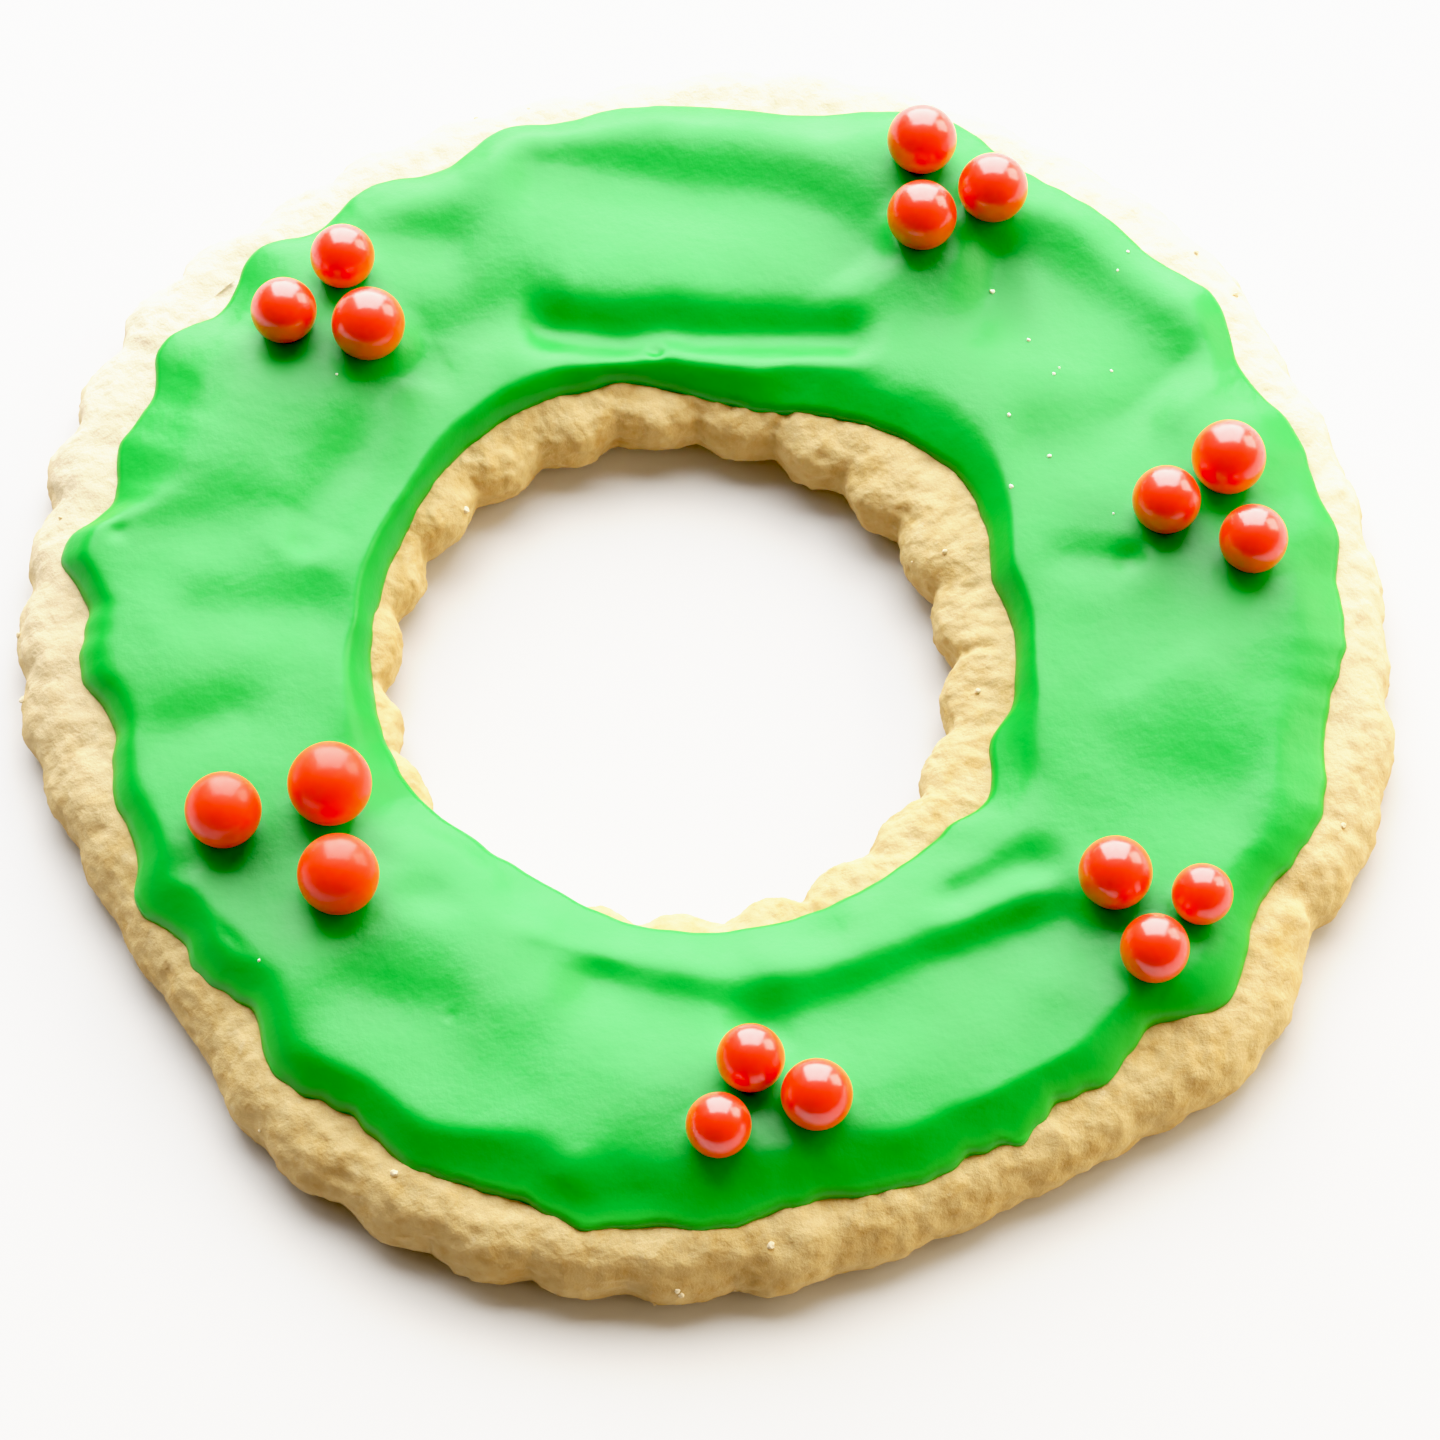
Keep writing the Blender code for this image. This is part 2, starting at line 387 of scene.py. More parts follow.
def biscuitTree():
    tree, take = newTree("flutedBiscuit", biscuit)
    values = {"Size X": 1.0, "Size Y": 1.0, "Vertices X": plus(tree, take["Around"], 1.0),
              "Vertices Y": plus(tree, take["Across"], 1.0)}
    rows = addNode(tree, "GeometryNodeMeshGrid", values)
    spot = position(tree)
    sheet = axes(tree, spot)
    way = plus(tree, sheet[0], 0.5)
    row = plus(tree, sheet[1], 0.5)
    degrees = times(tree, way, 360.0)
    radians = times(tree, way, fullTurn)
    fade = shape(tree, row, fluteFade)
    outer, inner = fluteWaves(tree, take, degrees, radians)

    # rim radius: spread dough, less the flutes, less a notch and a fold
    cut = times(tree, shape(tree, way, turns(fluteDepth)), minus(tree, 1.0, outer))
    notch = times(tree, groove(tree, take, degrees, "Notch"), take["Notch depth"])
    fold = times(tree, groove(tree, take, degrees, "Fold"), take["Fold depth"])
    cut = times(tree, plus(tree, cut, plus(tree, notch, fold)), fade)
    inset = shape(tree, row, sectionLine(1))
    rim = minus(tree, shape(tree, way, turns(rimRadius)), cut, inset)

    # hole radius: its lobes bulge inwards
    bulge = times(tree, inner, fade, take["Hole flute depth"])
    hole = plus(tree, minus(tree, take["Hole radius"], bulge), inset)
    side = shape(tree, row, sectionLine(3))
    values = {"Factor": side, 4: edgePoint(tree, rim, radians, 0.0, take["Middle Y"]),
              5: edgePoint(tree, hole, radians, take["Hole X"], take["Hole Y"])}
    wall = addNode(tree, "ShaderNodeMix", values, data_type="VECTOR")

    # height, less a crease over the shoulder
    rise = shape(tree, row, sectionLine(2))
    crease = times(tree, shape(tree, row, creaseFade), take["Crease depth"])
    crease = times(tree, groove(tree, take, degrees, "Crease"), crease)
    height = minus(tree, times(tree, rise, take["Thickness"]), crease)
    lift = addNode(tree, "ShaderNodeCombineXYZ", {"Z": height}).outputs[0]
    raised = vectors(tree, "ADD", {0: wall.outputs[1], 1: lift})[0]
    small = vectors(tree, "SCALE", {0: raised, "Scale": mm})[0]
    values = {"Geometry": rows.outputs[0], "Position": small}
    ring = addNode(tree, "GeometryNodeSetPosition", values)

    # where it is drawn darker: the oven's browning and painted shade, low on the walls, down in the
    # cusps and at the sole
    values = {"Factor": side, 2: outer, 3: inner}
    cusps = addNode(tree, "ShaderNodeMix", values, data_type="FLOAT").outputs[0]
    deep = times(tree, minus(tree, 1.0, cusps), fade)
    low = minus(tree, 1.0, rise)
    sole = times(tree, calc(tree, "POWER", low, 4.0), take["Sole browning and shade"])
    walls = plus(tree, times(tree, low, take["Wall browning and shade"]), sole)
    bakedAndShaded = plus(tree, times(tree, deep, take["Cusp browning and shade"]), walls)
    values = {"Geometry": ring.outputs[0], "Name": "bakedAndShaded", "Value": bakedAndShaded}
    stored = addNode(tree, "GeometryNodeStoreNamedAttribute", values, domain="POINT")
    values = {"Geometry": stored.outputs[0], "Distance": take["Weld"]}
    closed = addNode(tree, "GeometryNodeMergeByDistance", values)

    # lumps, grain and pits push the crust in and out, and leave the sole flat
    lumps = noiseAt(tree, spot, take["Lump scale"], take["Seed"], 3.0)
    grain = noiseAt(tree, spot, take["Grain scale"], take["Seed"], 2.0)
    cells = addNode(tree, "ShaderNodeTexVoronoi", {"Vector": spot, "Scale": take["Pit scale"]})
    pitBottom = times(tree, take["Pit depth"], -1.0)
    pits = spread(tree, cells.outputs["Distance"], 0.05, 0.28, pitBottom, 0.0, "LINEAR")
    push = plus(tree, times(tree, lumps, take["Lump height"]), times(tree, grain, take["Grain height"]))
    push = plus(tree, push, pits)
    offSole = spread(tree, axes(tree, spot)[2], 0.0, take["Smooth below"], kind="LINEAR")
    push = times(tree, push, offSole, mm)
    normal = addNode(tree, "GeometryNodeInputNormal").outputs[0]
    endTree(tree, pushed(tree, closed.outputs[0], normal, push), take["Finish"])
    return tree


def biscuitFinish():
    look = biscuit["look"]
    material, tree, shader, spot = newFinish(
        "paleBakedBiscuit", Roughness=0.82, Subsurface_Weight=0.12, Subsurface_Scale=0.0012,
        Subsurface_Radius=(1.0, 0.55, 0.25), Specular_IOR_Level=0.25)

    # browned patches over the crust, darker with the browning and painted shade low on the walls, in the
    # cusps and at the sole, with pale and toasted flecks
    bakedAndShaded = addNode(tree, "ShaderNodeAttribute", attribute_name="bakedAndShaded").outputs["Fac"]
    patch = noiseAt(tree, spot, look["patches"], 1.3, 3.0, 0.6)
    patch = times(tree, patch, look["patchStrength"])
    mottle = noiseAt(tree, spot, look["mottles"], 3.3, 3.0, 0.6)
    mottle = times(tree, mottle, look["mottleStrength"])
    toastAndShade = plus(tree, bakedAndShaded, plus(tree, patch, mottle))
    colour = blendColours(tree, spread(tree, toastAndShade, -0.25, 0.55), look["crust"], look["brownedAndShaded"])
    colour = blendColours(tree, spread(tree, toastAndShade, 0.45, 1.15), colour, look["dark"])
    fleck = noiseAt(tree, spot, look["flecks"], 5.1, 3.0, 0.6)
    colour = blendColours(tree, spread(tree, fleck, 0.08, 0.3, 0.0, 0.45), colour, look["flour"])
    colour = blendColours(tree, spread(tree, fleck, -0.15, -0.35, 0.0, 0.35), colour, look["toasted"])

    # painted light: the upper faces towards the back are drawn paler, where the light from behind falls
    along, height = axes(tree, spot)[1:]
    fromMiddle = vectors(tree, "LENGTH", {0: spot})["Value"]
    pale = times(tree, spread(tree, along, *look["paintedLightBack"]), spread(tree, height, *look["paintedLightTop"]))
    pale = times(tree, pale, spread(tree, fromMiddle, *look["paintedLightRim"]))
    feed(tree, shader.inputs["Base Color"], blendColours(tree, pale, colour, look["pale"]))
    crumb = noiseAt(tree, spot, look["crumb"], 2.2, 4.0, 0.6)
    roughen(tree, shader, crumb, look["crumbHeight"], look["crumbStrength"])
    return material


biscuitMaterial = biscuitFinish()
biscuitPiece = grow("biscuitRing", biscuitTree(), biscuit, biscuitMaterial)
faceOut(biscuitPiece.data)
print("biscuit made:", len(biscuitPiece.data.polygons), "faces")


# icing

icing = {
    "around": 820,               # points round the ring
    "across": 90,                # rows over the top, edge to edge
    "crowding": 0.62,            # how much closer the rows are at both edges
    "under": 8,                  # rows hidden in the biscuit
    "level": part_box("icing")[1].z / mm - 0.25,
    "edgeLevel": 0.81,           # mm above the biscuit, where the frame's icing gives both edges
    "levelSlack": 0.02,
    "outerBand": (30.0, 60.0),   # mm from the middle, where each edge is found
    "innerBand": (0.0, 28.0),
    "overhang": 4.0,             # mm above the floor
    "sink": 0.15,                # mm that the edge sinks into the crust
    "bedLevel": 4.3,             # mm above the floor, the most for the hidden underside
    "bedGap": 0.3,               # mm that the underside lies below both edges
    "footHeight": 0.55,          # mm of round edge
    "footRadius": 0.5,
    "thinAndReflectedRim": 0.8,              # mm from the edge where the crust shows through and a reflection of the floor is painted
    "slopeEvening": 6.0,         # degrees over which the slopes even out the edge
    "outerEvening": 8.0,         # the same for the crust under each edge
    "innerEvening": 6.0,
    "tableEvening": 5.0,         # the same for the tables below
    "wobble": 0.12,              # mm of small unevenness along the edges
    "outerWobbles": range(40, 130, 3),       # waves to the turn
    "innerWobbles": range(14, 60, 3),
    "waves": 0.14,               # mm of slow waves on top
    "waveLength": 12.0,
    "ripples": 0.012,
    "rippleLength": 5.0,
    "slopeWaves": 0.16,          # mm of unevenness on the slopes
    "slopeWaveLength": 6.5,
    "slopeWaveStart": 2.0,       # mm from the edge where they are at their full height
    "strokeFade": 3.4,           # mm at both ends of a knife stroke
    "seeds": {"outer": 11, "inner": 12, "waves": 21, "ripples": 22, "slopes": 23},
    "holeX": -0.6,
    "holeY": -1.7 + middleY,
    # round each pearl: reaches are in pearl radii, the rest in mm
    "calm": 0.8,                 # share of the relief that the pearl pressed flat
    "calmReach": 1.15,
    "meniscus": 0.22,            # how far the icing climbs
    "meniscusReach": 0.72,
    "meniscusWidth": 0.55,
    "seatDepth": 0.5,
    "seatReach": 0.55,
    "look": {
        "deep": (0.001, 0.285, 0.016, 1),
        "light": (0.002, 0.325, 0.023, 1),
        "grain": (0.006, 0.36, 0.030, 1),
        # thin icing over the crust along the near edge, partly a painted reflection of the floor
        "thinAndReflected": (0.05, 0.42, 0.035, 1),
        "thinAndReflectedShare": 0.45,
        "smoothest": 0.33,
        "dullest": 0.42,
        "patches": 95.0,         # for each metre, as the sheens, dents and grains
        "sheens": 260.0,
        "dents": 700.0,
        "grains": 1900.0,
        "dentHeight": 0.00012,   # m
        "dentStrength": 0.5,
    },
}

# rise per mm of the slope down to the outer edge, by angle
outerSteepness = [
    (0, 0.5), (30, 0.5), (60, 0.6), (90, 0.7), (118, 0.7), (132, 0.45), (150, 0.36), (163, 0.42),
    (171, 1), (185, 1.1), (205, 1.05), (222, 0.9), (238, 0.95), (247, 0.75), (254, 0.5), (262, 0.35),
    (268, 0.42), (276, 0.5), (286, 0.6), (296, 0.75), (310, 0.8), (322, 0.85), (332, 0.75), (345, 0.5),
    (360, 0.5),
]
# how softly the top turns down to the outer edge, in mm, by angle
outerCrest = [
    (0, 0.45), (40, 0.5), (90, 0.5), (140, 0.5), (170, 0.35), (200, 0.3), (225, 0.3), (240, 0.22),
    (265, 0.16), (285, 0.14), (310, 0.18), (330, 0.3), (360, 0.45),
]
# the same for the inner edge, by angle about its own centre
innerCrest = [
    (0, 0.2), (20, 0.18), (50, 0.16), (75, 0.22), (90, 0.3), (180, 0.3), (210, 0.5), (260, 0.55),
    (320, 0.45), (345, 0.25), (360, 0.2),
]
# the same as the slope for the inner edge, by angle about its own centre
innerSteepness = [
    (0, 1.5), (15, 1.3), (25, 1), (35, 0.78), (45, 0.52), (57, 0.44), (68, 0.54), (78, 0.8), (90, 1.1),
    (110, 1.5), (135, 1.8), (160, 2), (185, 1.6), (200, 0.7), (215, 0.45), (260, 0.5), (300, 0.45),
    (322, 0.45), (335, 0.5), (345, 0.75), (354, 1.2), (360, 1.5),
]
# mm that the inner edge creeps over the edge of the hole, by angle
innerCreep = [
    (0, 0), (60, 0), (180, 0), (205, 0.35), (222, 1.05), (250, 1.15), (275, 1), (300, 0.75), (325, 0.3),
    (345, 0), (360, 0),
]

# strokes of the spreading knife, drawn left to right:
# (points, height in mm, width on the far side, width on the near side)
knifeStrokes = [
    ([(-14, 33.4), (-10, 33.7), (-7, 33.1), (-4, 32.4), (-1, 31.6), (3, 31.4), (6, 30.6), (8.5, 29.2),
      (10.5, 27.5), (12.5, 25)], -0.9, 1.9, 3),
    ([(-27, 28.9), (-22, 28.2), (-18.5, 27.8), (-13.5, 27.6)], -0.62, 1.6, 2.6),
    ([(-20, 19), (-16, 20.8), (-12.5, 22.4), (-8, 23.2)], -0.95, 2.2, 2),
    ([(-12.5, 22.2), (-8, 21.3), (-5, 20.9), (-2, 21.2), (0, 21), (5, 21), (8, 20.9), (12, 20.7)],
     -1.25, 1.25, 1.4),
    ([(-26, 4.5), (-23.4, 9.1), (-21.6, 12.1), (-20.4, 14.6), (-19.2, 17.4), (-18.4, 21)],
     -0.85, 1.7, 2.2),
    ([(-39, 6.9), (-35.5, 6.6), (-32, 6.9), (-29, 7.6), (-25.5, 8)], -0.26, 1.6, 1.8),
    ([(-34.5, -0.4), (-30, 0.3), (-27, 0.6), (-21, 1)], -0.38, 1.6, 1.8),
    ([(-35.5, -8.7), (-32, -7.7), (-29.5, -6.8), (-26, -5.6)], -0.26, 1.2, 1.5),
    ([(-36, 12.2), (-35, 13.4), (-33.4, 14.8), (-31.6, 15.6), (-30.6, 17.6), (-29.8, 20)],
     -0.26, 0.7, 0.7),
    ([(-15, -18.6), (-12, -19.8), (-9, -20.9), (-6, -22), (-3, -23), (-0.5, -23.5), (4, -24)],
     0.3, 1.5, 1.1),
    ([(2, -24), (7.5, -23.2), (10.5, -22.2), (14.5, -20.8), (18, -19.2), (22.5, -17.6)], 0.34, 1.4, 1),
    ([(-12.5, -22), (-8.5, -22.9), (-6.5, -23.4), (-2.5, -24.6)], -0.45, 0.7, 1.8),
    ([(-9.5, -23.6), (-4, -25.1), (-2, -25.7), (1, -26.4), (6.5, -27)], -0.8, 1.4, 2.6),
    ([(0.5, -28.4), (5.4, -27.2), (8.4, -26), (11.4, -24.8), (14.4, -23.6), (19.5, -21.6), (25, -19.4)],
     -0.85, 1.4, 2.8),
    ([(12, -23.9), (15, -22.7), (18, -21.4), (22, -19.9)], -0.16, 0.6, 1.4),
    ([(12.5, -20.2), (17, -18.2), (19.5, -17.2), (23, -16.6)], -0.85, 1.2, 1),
    ([(-19.5, -18.6), (-16.5, -18.9), (-13, -19.4)], -0.45, 1.2, 1),
    ([(-21.5, -16.7), (-19.5, -16.4), (-17.5, -16.7)], -0.3, 0.9, 0.8),
    ([(-24, -24.4), (-20.5, -25.4), (-17.5, -26.4), (-12.5, -27.4)], -0.34, 1.6, 2),
    ([(-28, -28), (-25.5, -28.7), (-23, -29.3)], -0.3, 1.2, 0.8),
    ([(-35.2, -17), (-32.5, -17.4), (-30, -18.1)], -0.4, 0.9, 0.7),
    ([(-30.4, -20.1), (-28.6, -22), (-26.7, -24.1)], -0.25, 0.4, 0.9),
    ([(20, 4.6), (24.5, 4.2), (28.5, 3.6)], -0.3, 1, 1.2),
    ([(16, 27.6), (20, 26.6), (22, 25.6), (24.5, 23.4), (27, 21.2), (32, 16.2)], -1.4, 2.6, 3.4),
    ([(8.5, 21.9), (11, 21.7), (15, 22.1), (22, 23.4)], -0.65, 2.3, 2.2),
    ([(18, 12.4), (23, 13), (31, 14.8)], -0.5, 2.2, 2.4),
    ([(23.5, -7.4), (27, -5.6), (29.5, -4), (32.5, -1.4)], 0.2, 0.9, 2.2),
    ([(21, -16.9), (29, -13.6), (37, -9)], -0.2, 2.6, 2.4),
    ([(33.8, -19), (34.8, -17.4), (35.9, -15.8), (37.2, -14.4)], -0.4, 0.8, 0.7),
    ([(33, -15), (35, -11), (36.3, -7.5), (37.4, -3)], 0.14, 0.7, 0.7),
    ([(-10.5, -36.7), (-7.5, -36.9), (-4.5, -36.6)], 0.3, 0.7, 0.7),
    ([(13, -34.6), (17, -32.9), (20, -31.3), (23, -29)], 0.16, 0.35, 0.35),
]
# bumps and hollows on the slopes: (x, y, radius, height)
slopeBumps = [
    (-7.6, -37.3, 1.5, 0.3), (-3.5, -39, 1.6, -0.18), (8.5, -37.3, 2, 0.16), (-13.5, -36, 1.8, -0.14),
    (19, -32, 1.6, -0.12), (-20.5, -32, 1.5, -0.12),
]
# the same on the top
dimples = [
    (-3, 19.7, 0.5, -0.3), (-3, 20, 1.3, 0.14), (-25, 5.3, 1, -0.32), (-36.6, 6.3, 0.6, -0.22),
    (-35.3, 9.8, 1.8, 0.28), (26.6, 4.3, 1, -0.36), (30.2, -25.6, 0.8, -0.3), (-28.5, -24, 0.25, -0.2),
    (-19, -33.5, 0.22, -0.2), (-15, -27, 0.22, -0.15), (24.5, 9, 2.2, 0.12), (-2, 27, 2.6, 0.12),
    (-31, 4, 2, 0.14), (21, -25, 2, 0.12), (33, -2, 1.8, 0.12), (12, -30, 2.4, 0.1), (-31, 15, 9, 0.28),
]


def roundTable(points, angles):
    # smooth reading of (degrees, value) pairs round the full circle
    known = np.array(points, float)
    out = np.interp(np.degrees(angles) % 360.0, known[:, 0], known[:, 1])
    width = max(3, int(len(angles) * icing["tableEvening"] / 360.0)) | 1
    window = np.hanning(width + 2)[1:-1]
    wrapped = np.concatenate([out[-width:], out, out[:width]])
    return np.convolve(wrapped, window / window.sum(), mode="same")[width:-width]


def curveBetween(before, here, there, after, t):
    # Catmull-Rom reading between two of four neighbours
    bend = 2.0 * before - 5.0 * here + 4.0 * there - after
    twist = 3.0 * here - before - 3.0 * there + after
    return 0.5 * (2.0 * here + (there - before) * t + bend * t ** 2 + twist * t ** 3)


def cadEdge(node, level, centre, band, angles):
    # radius of one edge of a CAD node about a centre, read at any angle
    spots = np.array([tuple(v.co) for v in nodes[node].data.vertices]) / mm
    spots = spots[np.abs(spots[:, 2] - level) < icing["levelSlack"]]
    across, along = spots[:, 0] - centre[0], spots[:, 1] - centre[1]
    radius, turn = np.hypot(across, along), np.arctan2(along, across) % fullTurn
    chosen = (radius > band[0]) & (radius < band[1])
    turn, first = np.unique(np.round(turn[chosen], 4), return_index=True)
    return smoothLoop(turn, radius[chosen][first], angles)


def smoothLoop(turn, radius, angles):
    # closed smooth curve through (turn, radius)
    count = len(turn)
    spot = np.searchsorted(turn, angles % fullTurn, side="right") - 1
    index = [(spot + shift) % count for shift in (-1, 0, 1, 2)]
    start, end = turn[index[1]], turn[index[2]]
    gap = (end - start) % fullTurn
    t = ((angles - start) % fullTurn) / gap
    return curveBetween(*(radius[i] for i in index), t)


def ringNoise(angles, waves, seed):
    # smooth random wobble of about -1 to 1 round the ring, from waves so many to the turn
    generator = np.random.default_rng(seed)
    total = np.zeros(len(angles))
    for wave in waves:
        total += generator.normal() * np.cos(wave * angles + generator.uniform(0.0, fullTurn))
    return total / math.sqrt(len(waves) / 2.0) / 1.6


def waveField(x, y, length, seed, parts=14):
    # smooth random waves over the top, of about one length in mm
    generator = np.random.default_rng(seed)
    total = np.zeros_like(x)
    for _ in range(parts):
        heading = generator.uniform(0.0, math.pi)
        pitch = fullTurn / (length * generator.uniform(0.7, 1.6))
        phase = generator.uniform(0.0, fullTurn)
        total += np.cos((x * math.cos(heading) + y * math.sin(heading)) * pitch + phase)
    return total / math.sqrt(parts / 2.0) / 1.6


def smoothPath(points, steps=6):
    # smooth points through a short drawn path
    path = np.array(points, float)
    padded = np.vstack([2 * path[0] - path[1], path, 2 * path[-1] - path[-2]])
    out = []
    for i in range(1, len(padded) - 2):
        for t in np.linspace(0.0, 1.0, steps, endpoint=False):
            out.append(curveBetween(*padded[i - 1:i + 3], t))
    out.append(path[-1])
    return np.array(out)


def strokeRelief(x, y, points, height, farWidth, nearWidth):
    # a soft ridge or furrow along a path, faded out at both ends
    path = smoothPath(points)
    best = np.full(x.shape, 1e9)
    away = np.zeros_like(x)
    along = np.zeros_like(x)
    lengths = np.hypot(*np.diff(path, axis=0).T)
    reached = np.concatenate([[0.0], np.cumsum(lengths)])
    for i, length in enumerate(lengths):
        direction = (path[i + 1] - path[i]) / length
        dx, dy = x - path[i][0], y - path[i][1]
        t = np.clip(dx * direction[0] + dy * direction[1], 0.0, length)
        offX, offY = dx - t * direction[0], dy - t * direction[1]
        distance = np.hypot(offX, offY)
        nearer = distance < best
        side = np.sign(direction[0] * dy - direction[1] * dx)
        best = np.where(nearer, distance, best)
        away = np.where(nearer, distance * side, away)
        along = np.where(nearer, reached[i] + t, along)
    width = np.where(away > 0.0, farWidth, nearWidth)
    reach = min(icing["strokeFade"], reached[-1] / 2.0)
    fade = np.clip(np.minimum(along, reached[-1] - along) / reach, 0.0, 1.0)
    fade = fade * fade * (3.0 - 2.0 * fade)
    return height * fade * np.exp(-0.5 * (away / width) ** 2)


def addBumps(relief, x, y, bumps):
    for across, along, radius, height in bumps:
        relief += height * np.exp(-((x - across) ** 2 + (y - along) ** 2) / radius ** 2)


def softMin(first, second, rounding):
    # the lower of two surfaces, with a rounded change from one to the other
    return np.minimum(first, second) - rounding * np.log1p(np.exp(-np.abs(first - second) / rounding))


def crustHeight(tree, x, y):
    # top of the biscuit under a point, in mm; the icing hangs no lower than its overhang
    hit = tree.ray_cast(Vector((x * mm, y * mm, 0.02)), Vector((0, 0, -1)))
    return max(hit[0].z / mm, icing["overhang"]) if hit[0] else icing["overhang"]


def evened(values, degrees):
    # the same round of values with its small unevenness taken out
    half = int(len(values) * degrees / 360.0)
    window = np.hanning(2 * half + 3)[1:-1]
    wrapped = np.concatenate([values[-half:], values, values[:half]])
    return np.convolve(wrapped, window / window.sum(), mode="valid")


def footRise(distance, evenDistance, steepness):
    # round foot that follows the edge, then a smoother slope up from it
    share = np.clip(distance / icing["footRadius"], 0.0, 1.0)
    foot = icing["footHeight"] * np.sqrt(1.0 - (1.0 - share) ** 2)
    return foot + steepness * np.maximum(evenDistance, 0.0)


def pearlSpots():
    # (x, y, radius) of every pearl, in mm
    spots = []
    for name in sorted(nodes):
        if name.startswith("pearl_"):
            low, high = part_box(name)
            middle = (low + high) / 2.0 / mm
            spots.append((middle.x, middle.y, (high.x - low.x) / 2.0 / mm))
    return spots


def makeTop(x, y):
    # the top: slow waves, knife strokes, dimples, all flat close to a pearl
    seeds = icing["seeds"]
    relief = icing["waves"] * waveField(x, y, icing["waveLength"], seeds["waves"])
    relief += icing["ripples"] * waveField(x, y, icing["rippleLength"], seeds["ripples"])
    for points, height, farWidth, nearWidth in knifeStrokes:
        relief += strokeRelief(x, y, points, height, farWidth, nearWidth)
    addBumps(relief, x, y, dimples)
    climb = np.zeros_like(x)
    for across, along, radius in pearlSpots():
        distance = np.hypot(x - across, y - along)
        relief *= 1.0 - icing["calm"] * np.exp(-(distance / (icing["calmReach"] * radius)) ** 4)
        ring = (distance - icing["meniscusReach"] * radius) / icing["meniscusWidth"]
        climb += icing["meniscus"] * np.exp(-ring ** 2)
        climb -= icing["seatDepth"] * np.exp(-(distance / (icing["seatReach"] * radius)) ** 4)
    return icing["level"] + relief + climb


def between(first, second, share):
    # loops of points on the way from one outline to another
    return first[:, None, :] * (1.0 - share)[None, :, None] + second[:, None, :] * share[None, :, None]


def loopFaces(count, across):
    # faces between neighbouring loops of points, round the ring
    faces = []
    for i in range(count):
        here, there = i * across, ((i + 1) % count) * across
        for j in range(across):
            k = (j + 1) % across
            faces.append((here + j, there + j, there + k, here + k))
    return faces


def makeIcing(material):
    # both edges, from the frame's icing
    count, rows, seeds = icing["around"], icing["across"], icing["seeds"]
    angles = np.linspace(0.0, fullTurn, count, endpoint=False)
    cos, sin = np.cos(angles), np.sin(angles)
    edgeLevel = biscuit["Thickness"] + icing["edgeLevel"]
    hole = (icing["holeX"], icing["holeY"])
    outer = cadEdge("icing", edgeLevel, (0.0, middleY), icing["outerBand"], angles)
    inner = cadEdge("icing", edgeLevel, hole, icing["innerBand"], angles)
    outerWobble = ringNoise(angles, icing["outerWobbles"], seeds["outer"])
    innerWobble = ringNoise(angles, icing["innerWobbles"], seeds["inner"])
    outer += icing["wobble"] * (0.6 - 0.4 * sin) * outerWobble     # most of it on the near side
    inner += icing["wobble"] * 0.5 * innerWobble - roundTable(innerCreep, angles)
    outside = np.stack([outer * cos, outer * sin + middleY], axis=1)
    inside = np.stack([hole[0] + inner * cos, hole[1] + inner * sin], axis=1)

    # the slopes don't follow every wobble of the edge, least of all on the near side
    nearSide = np.clip(0.2 - 1.1 * sin, 0.0, 1.0)
    outerBulge = (nearSide * (evened(outer, icing["slopeEvening"]) - outer))[:, None]
    innerBulge = (0.5 * (inner - evened(inner, icing["slopeEvening"])))[:, None]

    # rows are closer together near both edges
    share = np.linspace(0.0, 1.0, rows + 1)
    share = share - icing["crowding"] * np.sin(fullTurn * share) / fullTurn
    grid = between(outside, inside, share)
    x, y = grid[:, :, 0], grid[:, :, 1]
    width = np.hypot(*(outside - inside).T)[:, None]
    fromOuter, fromInner = share[None, :] * width, (1.0 - share)[None, :] * width

    # slopes down to both edges, which sink into the crust
    crust = BVHTree.FromObject(biscuitPiece, bpy.context.evaluated_depsgraph_get())
    outerRest = np.array([crustHeight(crust, *spot) for spot in outside]) - icing["sink"]
    innerRest = np.array([crustHeight(crust, *spot) for spot in inside]) - icing["sink"]
    slopeWaves = icing["slopeWaves"] * waveField(x, y, icing["slopeWaveLength"], seeds["slopes"])
    addBumps(slopeWaves, x, y, slopeBumps)
    z = makeTop(x, y)
    for rest, evening, away, bulge, steepness, crest in (
            (outerRest, icing["outerEvening"], fromOuter, outerBulge, outerSteepness, outerCrest),
            (innerRest, icing["innerEvening"], fromInner, innerBulge, innerSteepness, innerCrest)):
        foot = footRise(away, away + bulge, roundTable(steepness, angles)[:, None])
        waves = slopeWaves * np.clip(away / icing["slopeWaveStart"], 0.0, 1.0)
        slope = evened(rest, evening)[:, None] + waves + foot
        z = softMin(z, slope, roundTable(crest, angles)[:, None])
    z[:, 0] = outerRest
    z[:, -1] = innerRest

    # hidden underside, inside the biscuit
    under = np.linspace(0.0, 1.0, icing["under"] + 2)[1:-1]
    below = between(inside, outside, under)
    bed = np.minimum(np.minimum(outerRest, innerRest)[:, None], icing["bedLevel"]) - icing["bedGap"]
    bed = np.broadcast_to(bed, below.shape[:2])
    points = np.concatenate([np.dstack([grid, z]), np.dstack([below, bed])], axis=1) * mm
    mesh = bpy.data.meshes.new("icingTop")
    mesh.from_pydata(points.reshape(-1, 3).tolist(), [], loopFaces(count, points.shape[1]))

    # how thin it is along the near edge, with a painted reflection of the floor there, for its finish
    thinAndReflected = np.zeros(points.shape[:2])
    near = np.clip(0.3 - sin, 0.0, 1.0)[:, None]
    thinAndReflected[:, :rows + 1] = near * np.exp(-(fromOuter / icing["thinAndReflectedRim"]) ** 2)
    mesh.attributes.new("thinRimAndReflection", "FLOAT", "POINT").data.foreach_set("value", thinAndReflected.ravel())
    faceOut(mesh)
    mesh.materials.append(material)
    return place("greenIcing", mesh)


